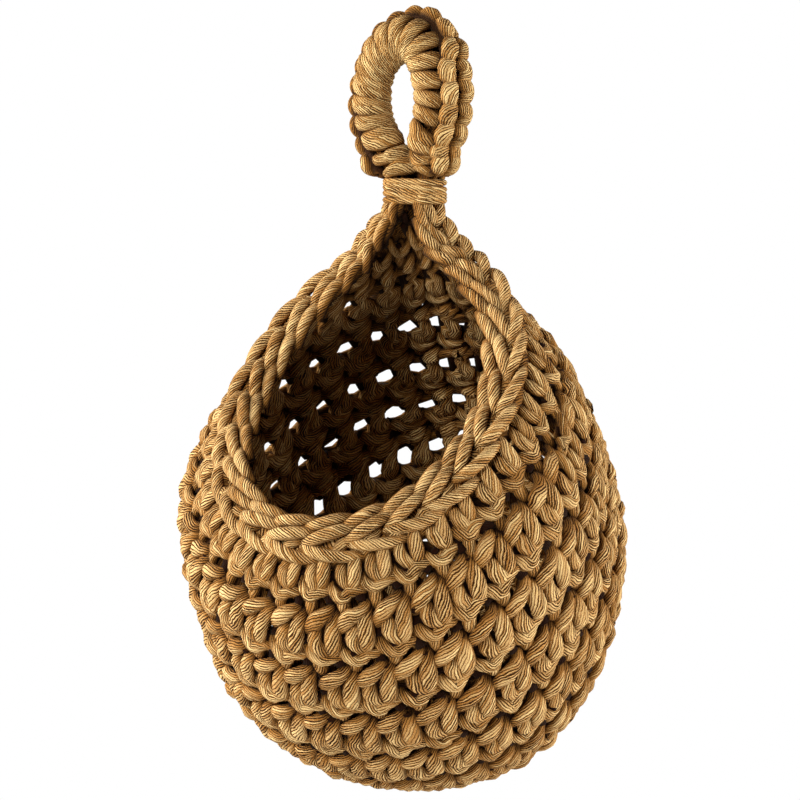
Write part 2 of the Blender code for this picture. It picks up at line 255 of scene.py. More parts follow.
def tube_mesh(name, groups):
    """Many flattened cords in one mesh: an ellipse carried along each row of centres.

    A group of cords is centre, facing, width, thickness, tone and depth. Centre and facing
    are cords x stations x 3. A point = centre + half the width x cos(turn) square to the cord
    and to facing + half the thickness x sin(turn) towards facing. Tone is one number for each
    cord. Depth is how far the middle of each station lies below the outermost cords. A painted
    shade for each point, kept as an attribute, grows from 0 to 1 with its depth below the
    outermost cords, and the material darkens deep cords by it.
    """
    centre, facing, width, thick, tone, depth = joined(groups)
    cords, stations = centre.shape[:2]
    along = unit(np.gradient(centre, axis=1))
    wide = unit(np.cross(along, facing))
    deep = np.cross(wide, along)
    turn = np.arange(CORD_SIDES) * math.tau / CORD_SIDES
    half_wide, half_thick = width[..., None] / 2 * np.cos(turn), thick[..., None] / 2 * np.sin(turn)
    points = (
        centre[:, :, None]
        + half_wide[..., None] * wide[:, :, None]
        + half_thick[..., None] * deep[:, :, None]
    )
    # Painted shade for deep cords: 0 near the outside, growing to 1 with a point's depth below the
    # outermost cords.
    painted_deep_shade = np.clip((depth[..., None] - half_thick - SHADE_START) / SHADE_DEPTH, 0.0, 1.0) ** 1.3

    spans, rows = stations - 1, (cords - 1) // ATLAS_COLUMNS + 1
    cord, station, side = np.meshgrid(
        np.arange(cords), np.arange(spans), np.arange(CORD_SIDES), indexing="ij"
    )
    cord = cord[..., None]
    station = np.stack([station, station + 1, station + 1, station], axis=-1)
    side = np.stack([side, side, side + 1, side + 1], axis=-1)
    quads = (cord * stations + station) * CORD_SIDES + side % CORD_SIDES
    pattern = np.stack([side / CORD_SIDES, length_along(centre)[cord, station] / CORD_WIDTH], axis=-1)
    inner = 1 - 2 * ATLAS_MARGIN
    atlas_u = (cord % ATLAS_COLUMNS + ATLAS_MARGIN + inner * side / CORD_SIDES) / ATLAS_COLUMNS
    atlas_v = (cord // ATLAS_COLUMNS + ATLAS_MARGIN + inner * station / spans) / rows
    atlas = np.stack([atlas_u, atlas_v], axis=-1)

    ring = np.arange(CORD_SIDES)
    start = (np.arange(cords) * stations * CORD_SIDES)[:, None]
    caps = np.concatenate([start + ring, start + spans * CORD_SIDES + ring[::-1]]).reshape(-1)
    cap_ring = CAP_PATCH * np.stack([np.cos(turn), np.sin(turn)], axis=-1) + CAP_PLACE
    loops = np.append(quads.reshape(-1), caps)
    starts = np.append(np.arange(0, quads.size, 4), quads.size + np.arange(0, len(caps), CORD_SIDES))
    pattern = np.vstack([pattern.reshape(-1, 2), np.tile((0.5, 0.0), (len(caps), 1))])
    atlas = np.vstack([atlas.reshape(-1, 2), np.tile(cap_ring, (2 * cords, 1))])

    mesh = bpy.data.meshes.new(name)
    mesh.vertices.add(points.size // 3)
    mesh.vertices.foreach_set("co", points.reshape(-1))
    mesh.loops.add(len(loops))
    mesh.loops.foreach_set("vertex_index", loops.astype(np.int32))
    mesh.polygons.add(len(starts))
    mesh.polygons.foreach_set("loop_start", starts.astype(np.int32))
    mesh.update(calc_edges=True)
    for layer, values in (("OFBake", atlas), ("Cord", pattern)):
        mesh.uv_layers.new(name=layer).data.foreach_set("uv", values.reshape(-1))
    for layer, values in (("tone", np.repeat(tone, stations * CORD_SIDES)), ("painted_deep_shade", painted_deep_shade.reshape(-1))):
        mesh.attributes.new(layer, "FLOAT", "POINT").data.foreach_set("value", values)
    mesh.shade_smooth()
    piece = bpy.data.objects.new(name, mesh)
    bpy.context.collection.objects.link(piece)
    return piece


# Each cord of a stitch: stitches along, rounds up, millimetres out, millimetres wide.
right_leg = (
    (-0.02, -0.14, -2.0, 3.6), (0.02, 0.04, 1.0, 5.0), (0.12, 0.34, 2.5, 6.6), (0.19, 0.68, 2.8, 7.0),
    (0.28, 1.05, 2.0, 6.2), (0.38, 1.32, -0.2, 4.8), (0.46, 1.5, -2.2, 3.6),
)
left_leg = (
    (0.0, -0.14, -2.0, 3.6), (-0.04, 0.05, 0.9, 4.8), (-0.17, 0.26, 2.2, 6.0), (-0.26, 0.5, 2.6, 6.4),
    (-0.22, 0.76, 1.9, 5.6), (-0.16, 0.97, 0.2, 4.6), (-0.1, 1.12, -1.8, 3.6),
)
top_leaf = (
    (-0.64, 0.72, -1.6, 3.6), (-0.47, 0.92, 1.0, 5.6), (-0.18, 1.22, 3.0, 7.2), (0.1, 1.47, 1.9, 5.8),
    (0.26, 1.62, -0.6, 3.8),
)
back_post = (
    (-0.4, 0.26, -1.4, 3.6), (-0.34, 0.48, 0.2, 5.2), (-0.31, 0.72, 0.9, 5.4), (-0.26, 0.93, 0.4, 4.8),
    (-0.16, 1.08, -1.4, 3.6),
)
back_arc = (
    (-0.68, 1.46, -1.0, 3.6), (-0.57, 1.14, 1.0, 5.0), (-0.3, 0.86, 2.0, 5.6), (0.06, 0.88, 1.4, 5.2),
    (0.36, 1.02, -0.8, 3.8),
)

# Each side of a stitch: its cords, how much fuller they lie, and millimetres from the middle to its top.
V_SIDE = ((right_leg, left_leg, top_leaf), 1.04, 4.9)
REVERSE_SIDE = ((back_post, back_arc), 1.13, 4.1)
STITCH_STATIONS = 12
ROUND_LIFT = 0.25
INSIDE_SHIFT = 0.57
FLATNESS = 0.9
FIRST_HOLED_ROUND = 6

# In millimetres: a full stitch's width and a cord's least thickness.
FULL_STITCH = 15.2
LEAST_THICKNESS = 1.1

# Unevenness: in stitches along, rounds up, millimetres out, and shares of a cord's width.
UNEVEN_ALONG = 0.03
UNEVEN_UP = 0.035
UNEVEN_OUT = 0.25
UNEVEN_WIDTH = 0.05
UNEVEN_HOLES = 0.26

# Millimetres by which the fabric's middle lies outside the bowl's lines, by round.
seat_by_round = ((0, 2.0), (4, 1.2), (9, -1.0))


def stitched_round(number, count, seed):
    """One round: every cord of every stitch, laid on the bowl with a little unevenness.

    A cord's centre = the cloth at its angle and round + its height out x the bowl's normal,
    and its thickness = the least one + half its width. Cords that lie inside the bowl are
    mirrored, and their height is counted inwards.
    """
    chance = np.random.default_rng(seed)
    stitch = np.arange(count)[:, None]
    places = np.linspace(0.0, 1.0, STITCH_STATIONS)
    groups = []
    for (tables, fullness, top), outside in ((V_SIDE, number % 2 == 1), (REVERSE_SIDE, number % 2 == 0)):
        for table in tables:
            along, up, out, wide = smooth_through(np.array(table), places * (len(table) - 1)).T
            shift = chance.normal(0.0, 1.0, (4, count, 1))
            along = along + UNEVEN_ALONG * (shift[0] + shift[3] * np.sin(places * 5))
            up = up + UNEVEN_UP * shift[1]
            out = out + UNEVEN_OUT * shift[2]
            wide = wide * (fullness + UNEVEN_WIDTH * shift[3])
            # Depth below the top of this side of the stitch, which sets the painted shade of deep cords.
            depth = MM * (top - FLATNESS * out)
            if not outside:
                along, out = INSIDE_SHIFT - along, -out
            place, rounds = stitch + along, number - 1 + ROUND_LIFT + up
            if number >= FIRST_HOLED_ROUND:
                wide = wide * np.clip(cell_size(place, rounds, count)[0] / FULL_STITCH, 0.6, 1.0)
                kept_clear = wide * (0.96 + UNEVEN_HOLES * shift[2])
                place, rounds = clear_of_holes(place, rounds, out, kept_clear, count)
            angle = stitch_angle(place, rounds, count)
            normal = bowl_normal(angle, rounds)
            height = MM * (FLATNESS * out + np.interp(rounds, *np.transpose(seat_by_round)))
            centre = cloth_point(angle, rounds) + height[..., None] * normal
            tone = chance.uniform(0.0, 1.0, count)
            thick = MM * (LEAST_THICKNESS + 0.5 * wide)
            groups.append((centre, normal if outside else -normal, MM * wide, thick, tone, depth))
    return tube_mesh(f"stitches_{number:02d}", groups)


def cotton_group():
    """Node group for plied cotton: fine yarns that run along the cord with a slow twist.

    A point's phase = turn round the cord x yarns + length x twist + noise + the cord's tone.
    Its whole part picks the yarn's own tone, and the rest is the place across that yarn, whose
    colour is light on the ridge and goes to a dark colour in the groove, as painted shade
    between the yarns. Cords that lie deep are darker, by painted shade, and in half shade the
    colour turns a deeper, warmer brown, a painted warm shade.
    """
    group = bpy.data.node_groups.new("plied_cotton", "ShaderNodeTree")
    face = group.interface
    for name, kind, value in (
        ("Light", "NodeSocketColor", (0.7, 0.46, 0.2, 1.0)),
        ("Painted Shade", "NodeSocketColor", (0.2, 0.09, 0.025, 1.0)),
        ("Yarns", "NodeSocketFloat", 18.0),
        ("Twist", "NodeSocketFloat", 1.0),
    ):
        face.new_socket(name, in_out="INPUT", socket_type=kind).default_value = value
    for name, kind in (
        ("Color", "NodeSocketColor"),
        ("Height", "NodeSocketFloat"),
        ("Roughness", "NodeSocketFloat"),
    ):
        face.new_socket(name, in_out="OUTPUT", socket_type=kind)
    nodes, links = group.nodes, group.links

    def node(kind, settings=(), **inputs):
        """New node. An input is named, or is i and its number, and takes a socket or a value."""
        made = nodes.new(kind)
        for key, value in settings:
            setattr(made, key, value)
        for key, value in inputs.items():
            socket = made.inputs[int(key[1:])] if key[1:].isdigit() else made.inputs[key]
            if isinstance(value, bpy.types.NodeSocket):
                links.new(value, socket)
            else:
                socket.default_value = value
        return made

    def maths(operation, first, second=0.0, third=0.0):
        """Output of a Math node."""
        return node("ShaderNodeMath", [("operation", operation)], i0=first, i1=second, i2=third).outputs[0]

    def clamped(value):
        """Value held between 0 and 1."""
        return node("ShaderNodeClamp", Value=value).outputs[0]

    def noise(place, scale, detail):
        """Noise of one scale over the object."""
        return node("ShaderNodeTexNoise", Vector=place, Scale=scale, Detail=detail).outputs["Fac"]

    def mixed(factor, first, second, way="MIX"):
        """Two colours mixed by a factor, or combined in another way."""
        settings = [("data_type", "RGBA"), ("blend_type", way)]
        return node("ShaderNodeMix", settings, Factor=factor, i6=first, i7=second).outputs[2]

    inlet = nodes.new("NodeGroupInput").outputs
    cord = node("ShaderNodeUVMap", [("uv_map", "Cord")]).outputs[0]
    tone = node("ShaderNodeAttribute", [("attribute_name", "tone")]).outputs["Fac"]
    painted_deep_shade = node("ShaderNodeAttribute", [("attribute_name", "painted_deep_shade")]).outputs["Fac"]
    around, along = node("ShaderNodeSeparateXYZ", i0=cord).outputs[:2]
    place = node("ShaderNodeTexCoord").outputs["Object"]
    wander = noise(place, 240.0, 2.0)
    fibres = noise(place, 2400.0, 2.0)
    patches = noise(place, 45.0, 1.0)

    phase = maths("MULTIPLY", around, inlet["Yarns"])
    phase = maths("ADD", phase, maths("MULTIPLY", along, inlet["Twist"]))
    phase = maths("ADD", phase, maths("MULTIPLY", wander, 1.6))
    phase = maths("ADD", phase, maths("MULTIPLY", tone, 7.0))
    part = maths("FRACT", phase)
    centred = maths("SUBTRACT", maths("MULTIPLY", part, 2.0), 1.0)
    ridge = maths("SQRT", maths("SUBTRACT", 1.0, maths("MULTIPLY", centred, centred)))
    inside = maths("SUBTRACT", 1.0, maths("ABSOLUTE", centred))
    yarn = node("ShaderNodeCombineXYZ", X=maths("FLOOR", phase), Y=maths("MULTIPLY", tone, 91.0)).outputs[0]
    each = node("ShaderNodeTexWhiteNoise", [("noise_dimensions", "2D")], Vector=yarn).outputs["Value"]
    plies = maths("SINE", maths("ADD", maths("MULTIPLY", along, 46.0), maths("MULTIPLY", part, 5.0)))

    # Painted shade between the yarns: the colour goes dark towards each groove, by a groove width that
    # wanders and differs from yarn to yarn.
    groove = maths("MULTIPLY_ADD", wander, 0.7, -0.36)
    groove = maths("MULTIPLY_ADD", maths("FRACT", maths("MULTIPLY", each, 17.0)), 0.56, groove)
    lit = clamped(maths("MULTIPLY", maths("SUBTRACT", inside, groove), 4.0))
    lit = maths("MULTIPLY_ADD", lit, 0.92, 0.08)
    lit = maths("MULTIPLY", lit, maths("MULTIPLY_ADD", each, 0.42, 0.53))
    lit = maths("ADD", lit, maths("MULTIPLY", plies, 0.08))
    for shade, strength in ((fibres, 0.6), (patches, 0.18), (tone, 0.12)):
        lit = maths("ADD", lit, maths("MULTIPLY_ADD", shade, strength, -strength / 2))
    # Painted shade: deep cords are darkened by their depth below the outermost cords, carried from the
    # mesh.
    lit = clamped(maths("MULTIPLY", lit, maths("MULTIPLY_ADD", painted_deep_shade, -1.0, 1.0)))
    # Painted shade: low values run from the dark shade colour through a deeper, warmer brown, the light
    # colour x (0.42, 0.255, 0.116), up to the light colour.
    middle = mixed(1.0, inlet["Light"], (0.42, 0.255, 0.116, 1.0), way="MULTIPLY")
    lower = mixed(maths("MINIMUM", maths("MULTIPLY", lit, 2.0), 1.0), inlet["Painted Shade"], middle)
    upper = maths("MAXIMUM", maths("MULTIPLY_ADD", lit, 2.0, -1.0), 0.0)
    height = maths("ADD", ridge, maths("MULTIPLY", plies, 0.12))
    height = maths("ADD", height, maths("MULTIPLY", fibres, 0.35))
    roughness = maths("MULTIPLY_ADD", fibres, 0.2, 0.75)
    node("NodeGroupOutput", Color=mixed(upper, lower, inlet["Light"]), Height=height, Roughness=roughness)
    return group


plied_cotton = cotton_group()


def cotton_material(name, light, painted_shade_colour, yarns, twist):
    """Matt cotton cord with a soft sheen. Colour, with painted shade in the grooves and on deep cords,
    roughness and relief come from the group.
    """
    material = bpy.data.materials.new(name)
    material.use_nodes = True
    nodes, links = material.node_tree.nodes, material.node_tree.links
    shader = nodes["Principled BSDF"]
    cotton = nodes.new("ShaderNodeGroup")
    cotton.node_tree = plied_cotton
    bump = nodes.new("ShaderNodeBump")
    for holder, values in (
        (cotton, {"Light": (*light, 1.0), "Painted Shade": (*painted_shade_colour, 1.0), "Yarns": yarns, "Twist": twist}),
        (bump, {"Distance": 0.0004, "Strength": 1.0}),
        (shader, {"Specular IOR Level": 0.03, "Sheen Weight": 0.03, "Sheen Roughness": 0.5,
                  "Sheen Tint": (1.0, 0.85, 0.6, 1.0)}),
    ):
        for socket, value in values.items():
            holder.inputs[socket].default_value = value
    links.new(cotton.outputs["Height"], bump.inputs["Height"])
    links.new(cotton.outputs["Color"], shader.inputs["Base Color"])
    links.new(cotton.outputs["Roughness"], shader.inputs["Roughness"])
    links.new(bump.outputs["Normal"], shader.inputs["Normal"])
    return material


STITCH_COUNTS = (6, 12, 18, 24, 30, *[36] * 12)
body_cotton = cotton_material(
    "body_cotton", light=(0.765, 0.532, 0.235), painted_shade_colour=(0.012, 0.003, 0.001), yarns=15.0, twist=2.8
)
for number, count in enumerate(STITCH_COUNTS, start=1):
    stitches = stitched_round(number, count, seed=100 + number)
    stitches.data.materials.append(body_cotton)
    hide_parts(f"round_{number:02d}")
    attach(stitches, "basket")


# A chain of twisted cotton cord edges the mouth. Each link is an outer, an inner and
# an edge strand over a flat base, and its ends run under the next link. Both ends of
# the chain are gathered and bound into the neck wrap.
RIM_LINKS = 28
RIM_ROUND = MOUTH_ROUND - 0.35
RIM_END_DEGREES = 150.0
RIM_KNOTS = 31
RIM_ROWS = 900
LEFT_TUCK = np.array((0.0021, 0.0, 0.0))
LEFT_ANGLE, LEFT_SPREAD = -1.6, 0.6
FRONT_LEAN, ADDED_LEAN = 0.1, 0.95
STRAND_STATIONS = 16
FIRST_LINK = 0.4
SPARE_LINKS = 1.1
SQUEEZED_LENGTH = 0.03
SQUEEZE = 0.55

# In millimetres: the thickest a strand gets, and the height of the chain's top over its middle.
STRAND_THICKEST = 5.0
RIM_TOP = 3.2

# Unevenness: in links along, millimetres across and out, and shares of a strand's width.
UNEVEN_LINK = 0.03
UNEVEN_ACROSS = 0.3
UNEVEN_LIFT = 0.2
UNEVEN_STRAND = 0.04

# The gathered cords: their way up the back, half the angle they cover, and their place in the wrap.
GATHERED_CORDS = 7
GATHERED_FROM_ROUND = 14.8
GATHERED_ROUNDS = 2.9
GATHERED_SWEEP = 0.3
GATHERED_HEAD = np.array((0.0, 0.0025, NECK_HEIGHT + 0.003))
GATHERED_SPREAD = np.array((-0.02, 0.0, 0.0))
# Depth that sets the painted shade of the gathered cords.
GATHERED_DEPTH = 0.0026

# Each strand of a link: links along, millimetres across the band, millimetres out, millimetres wide.
outer_strand = (
    (-0.1, 0.4, -2.4, 3.0), (0.06, -0.8, 1.2, 4.2), (0.36, -2.8, 3.2, 4.8), (0.8, -4.5, 2.8, 4.8),
    (1.16, -5.0, 0.8, 4.2), (1.42, -4.6, -2.0, 3.0),
)
inner_strand = (
    (-0.1, -0.6, -2.4, 3.0), (0.08, 0.4, 1.4, 4.2), (0.4, 2.2, 3.4, 4.9), (0.8, 3.9, 2.8, 4.8),
    (1.14, 4.3, 0.6, 4.0), (1.4, 3.6, -2.2, 3.0),
)
edge_strand = (
    (-0.34, 3.8, -3.2, 3.0), (0.0, 5.4, 0.0, 4.2), (0.4, 7.0, 1.6, 4.9), (0.84, 8.2, 0.6, 4.6),
    (1.24, 8.0, -2.6, 3.2),
)
base_strand = (
    (-0.2, 0.6, -3.0, 9.0), (0.1, 0.8, -1.6, 12.0), (0.5, 1.0, -1.2, 15.0), (0.9, 0.8, -1.6, 12.0),
    (1.2, 0.6, -3.0, 9.0),
)

# The chain's way up the right of the neck in millimetres, which way it faces there, and how far
# the left end lies outside the mirror image of the right one.
neck_path = (
    (13.5, -1.5, -69.0), (9.0, -1.4, -62.5), (6.4, -0.4, -56.0), (5.4, 0.0, -50.0), (5.0, 0.0, -45.0),
)
neck_facing = ((0.72, -0.5, 0.5), (0.84, -0.52, 0.15), *[(0.87, -0.5, 0.0)] * 3)
left_end_slack = (3.2, 2.8, 1.6, 0.5, 0.0)


def soft_step(value):
    """0 up to 0 and 1 from 1 on, and between them 3 x the square - 2 x the cube."""
    value = np.clip(value, 0.0, 1.0)
    return value ** 2 * (3 - 2 * value)


def read_off(reach, lengths, rows):
    """Rows of x, y and z read off a line at given lengths, in proportion between its points."""
    return np.stack([np.interp(reach, lengths, rows[:, axis]) for axis in range(3)], axis=-1)


def rim_lines():
    """Rim's middle, facing and length along it, from the left of the neck round to the right.

    The middle follows the last round of the cloth, tucked in at the left by a bell, and runs
    up the neck at both ends. The facing is the bowl's normal + lean x the way out of the
    mouth, and the lean grows from the front to the back by a soft step.
    """
    angle = np.radians(np.linspace(-RIM_END_DEGREES, RIM_END_DEGREES, RIM_KNOTS))
    rounds = np.full(RIM_KNOTS, RIM_ROUND)
    middle = cloth_point(angle, rounds) + bell(angle, LEFT_ANGLE, LEFT_SPREAD)[:, None] * LEFT_TUCK
    normal = bowl_normal(angle, rounds)
    over = np.cross(normal, unit(np.gradient(middle, axis=0)))
    lean = FRONT_LEAN + ADDED_LEAN * soft_step(np.abs(angle) - 0.9)
    facing = unit(normal + lean[:, None] * over)
    mirror = np.array((-1.0, 1.0, 1.0))
    neck, turned = MM * np.array(neck_path), np.array(neck_facing)
    left_neck = neck * mirror
    left_neck[:, 0] -= MM * np.array(left_end_slack)
    middle = np.vstack([left_neck[::-1], middle, neck])
    facing = np.vstack([turned[::-1] * mirror, facing, turned])
    places = np.linspace(0.0, len(middle) - 1.0, RIM_ROWS)
    middle, facing = smooth_through(middle, places), unit(smooth_through(facing, places))
    return middle, facing, length_along(middle)


def gathered_cords(chance):
    """Cords that run up inside the back of the fabric and narrow into the wrap.

    Each follows the cloth and passes by a soft step to its place in the middle of the wrap.
    """
    rise = np.linspace(0.0, 1.0, STRAND_STATIONS)
    sweep = np.linspace(-GATHERED_SWEEP, GATHERED_SWEEP, GATHERED_CORDS)[:, None]
    rounds = GATHERED_FROM_ROUND + GATHERED_ROUNDS * np.minimum(rise / 0.75, 1.0)
    foot = cloth_point(math.pi + sweep * (1.6 - 0.6 * rise), rounds)
    head = GATHERED_HEAD + GATHERED_SPREAD * sweep[..., None]
    blend = soft_step(2 * rise - 1)[:, None]
    facing = unit(np.array((0.0, 1.0, 0.4)))
    tone = chance.uniform(0.0, 1.0, GATHERED_CORDS)
    width, thick = MM * (7.0 - 3.6 * rise), MM * (3.6 - 1.2 * rise)
    return foot * (1 - blend) + head * blend, facing, width, thick, tone, GATHERED_DEPTH


def rim_chain():
    """Strands of each link = the rim's middle + an offset across the band + an offset out from it.

    The first and last 15 percent of the links lie closer together. Over the squeezed length at
    each end the offsets shrink by the squeeze x the square of the way into it.
    """
    chance = np.random.default_rng(7)
    line, facing, length = rim_lines()
    band = np.cross(facing, unit(np.gradient(line, axis=0)))
    whole = length[-1]
    places = np.linspace(0.0, 1.0, STRAND_STATIONS)
    link = np.arange(RIM_LINKS)[:, None]
    groups = []
    for table in (outer_strand, inner_strand, edge_strand, base_strand):
        along, across, out, wide = smooth_through(np.array(table), places * (len(table) - 1)).T
        shift = chance.normal(0.0, 1.0, (4, RIM_LINKS, 1))
        share = (link + FIRST_LINK + along + UNEVEN_LINK * shift[0]) / (RIM_LINKS + SPARE_LINKS)
        travel = whole * np.interp(share, (0.0, 0.15, 0.85, 1.0), (0.0, 0.112, 0.888, 1.0))
        from_end = np.minimum(travel, whole - travel) / SQUEEZED_LENGTH
        squeeze = 1 - SQUEEZE * np.clip(1 - from_end, 0.0, 1.0) ** 2
        middle, outward, sideways = (read_off(travel, length, rows) for rows in (line, facing, band))
        across = (across + UNEVEN_ACROSS * shift[1]) * squeeze
        out = (out + UNEVEN_LIFT * shift[2]) * squeeze
        wide = wide * (1 + UNEVEN_STRAND * shift[3]) * squeeze ** 0.5
        centre = middle + MM * (across[..., None] * sideways + out[..., None] * outward)
        thick = MM * np.minimum(0.8 + 0.8 * wide, STRAND_THICKEST)
        tone = chance.uniform(0.0, 1.0, RIM_LINKS)
        # Depth for the painted shade of deep strands: 1.6 mm + half the distance below the chain's top, so
        # undersides are only partly darkened.
        depth = MM * (1.6 + 0.5 * np.maximum(RIM_TOP - out, 0.0))
        groups.append((centre, outward, MM * wide, thick, tone, depth))
    groups.append(gathered_cords(chance))
    return tube_mesh("rim_chain", groups)


rim = rim_chain()
rim_cotton = cotton_material(
    "rim_cotton", light=(0.79, 0.548, 0.242), painted_shade_colour=(0.012, 0.003, 0.001), yarns=12.0, twist=4.6
)
rim.data.materials.append(rim_cotton)
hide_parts("rim_edging")
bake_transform(rim)


# The hanging loop's core is a bundle of seven cotton cords, twisted slowly together
# and bent over on itself. Both of its ends stand side by side in the neck wrap.
LOOP_HALF_WIDTH = 0.0164
LOOP_HEIGHT = 0.06
LOOP_ROWS = 400
FOOT_ASIDE = 0.0056
FOOT_BOTTOM = -0.0065
FOOT_TOP = 0.0063
LOOP_LEAN = 0.0031
LOOP_NARROWING = 0.07
RIGHT_LIMB_TUCK = 0.0026
LOOP_DROP = 0.0021
LEAN_FROM, LEAN_HEIGHT = 0.008, 0.02
CORE_CORDS = 7
CORE_STATIONS = 90
CORE_CORD_WIDTH = 0.0032
CORE_RADIUS = 0.0029
CORE_END = 0.0005
CORE_TWIST = 5
# Depth that sets the painted shade of the core cords.
CORE_DEPTH = 0.0034
out_shares = (0.45, 0.57, 0.625, 0.77, 0.93, 1.0, 0.95, 0.77, 0.455, 0.0)
up_shares = (0.165, 0.22, 0.275, 0.375, 0.49, 0.615, 0.75, 0.87, 0.96, 1.0)


def loop_line():
    """The loop's centre line as closely spaced points, and its length at each of them.

    It starts at the foot of the right limb. Above the foot it narrows and drops a little and
    leans to the left by a soft step, and the right limb is tucked in.
    """
    foot = ((FOOT_ASIDE, FOOT_BOTTOM), (FOOT_ASIDE, FOOT_TOP))
    limb = np.array((LOOP_HALF_WIDTH, LOOP_HEIGHT)) * np.transpose((out_shares, up_shares))
    right = np.vstack([foot, limb])
    knots = np.vstack([right, right[-2::-1] * np.array((-1.0, 1.0))])
    across, up = smooth_through(knots, np.linspace(0.0, len(knots) - 1, LOOP_ROWS)).T
    height = np.clip((up - LEAN_FROM) / LEAN_HEIGHT, 0.0, 1.0)
    share = np.linspace(0.0, 1.0, LOOP_ROWS)
    tuck = RIGHT_LIMB_TUCK * np.interp(share, (0.06, 0.18, 0.38, 0.5), (0.0, 1.0, 1.0, 0.0))
    across = across * (1 - LOOP_NARROWING * height) - LOOP_LEAN * soft_step(height) - tuck
    line = np.column_stack([across, np.zeros(LOOP_ROWS), up + NECK_HEIGHT - LOOP_DROP * height])
    return line, length_along(line)


def along_loop(length_from_foot):
    """Centre, outward and forward directions at a length along the loop."""
    line, length = loop_line()
    reach = np.clip(length_from_foot, 0.0, length[-1])
    ahead = unit(read_off(reach, length, unit(np.gradient(line, axis=0))))
    forward = np.broadcast_to(np.array((0.0, -1.0, 0.0)), ahead.shape)
    return read_off(reach, length, line), unit(np.cross(ahead, forward)), forward


def core_cords():
    """Centre = the loop's line + radius x cos(turn) outwards + radius x sin(turn) to the front.

    Six cords lie round one, and the turn grows by the twist, in radians, from foot to foot.
    """
    whole = loop_line()[1][-1]
    travel = np.linspace(CORE_END, whole - CORE_END, CORE_STATIONS)
    cord = np.arange(CORE_CORDS)[:, None]
    turn = cord * math.tau / (CORE_CORDS - 1) + travel / whole * CORE_TWIST
    radius = np.where(cord < CORE_CORDS - 1, CORE_RADIUS, 0.0)
    centre, out, forward = along_loop(travel)
    offset = np.cos(turn)[..., None] * out + np.sin(turn)[..., None] * forward
    tone = np.linspace(0.1, 0.9, CORE_CORDS)
    group = (centre + radius[..., None] * offset, out, CORE_CORD_WIDTH, CORE_CORD_WIDTH, tone, CORE_DEPTH)
    return tube_mesh("core_cords", [group])


core = core_cords()
core_cotton = cotton_material(
    "core_cotton", light=(0.6, 0.37, 0.15), painted_shade_colour=(0.014, 0.004, 0.001), yarns=12.0, twist=3.0
)
core.data.materials.append(core_cotton)
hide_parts("loop_core")
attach(core, "loop")


# Single crochet in cotton cord is worked over the core all round the loop. Each stitch
# wraps the core twice, and its top lies as two leaves of a chain on the loop's outer
# edge, which is turned to the front on the right limb and to the back on the left one.
COVER_STITCHES = 19
COVER_START = 0.0125
COVER_ROWS = 400
COVER_STATIONS = 24
COVER_OUTER = 0.009
COVER_TOP_LIFT = 0.0002
UNEVEN_COVER = 0.03
TURN_START = 0.55
TURN_RADIUS, TURN_RISE = 0.0044, 0.0013
TURN_NARROWEST, TURN_WIDEST = 0.0044, 0.0086
TURN_THICK = 0.0048
# Outermost radius of the turns, from which the painted shade of deep cords is measured.
TURN_TOP = 0.0085
BED_RADIUS, BED_WIDTH, BED_THICK = 0.0054, 0.0108, 0.0046
LEAF_RADIUS, LEAF_RISE = 0.0062, 0.0024
LEAF_WIDTH, LEAF_THICK = 0.0076, 0.0054
# Outermost radius of the chain, from which the painted shade of deep cords is measured.
CHAIN_TOP = 0.0112
FIRST_CHAIN_LINK, CHAIN_PITCH = 0.7, 0.9

# By share of the covered length: the chain's turn to the front in radians, and the cover's fullness.
chain_turns = ((0.0, 0.38), (0.34, 0.38), (0.49, -1.05), (0.62, -1.0), (0.84, -0.62), (1.0, 0.45))
fullness_shares = (
    (0.0, 0.8), (0.05, 1.0), (0.12, 1.25), (0.35, 1.36), (0.48, 1.27), (0.65, 1.0), (0.87, 1.0),
    (0.95, 1.14), (1.0, 0.9),
)


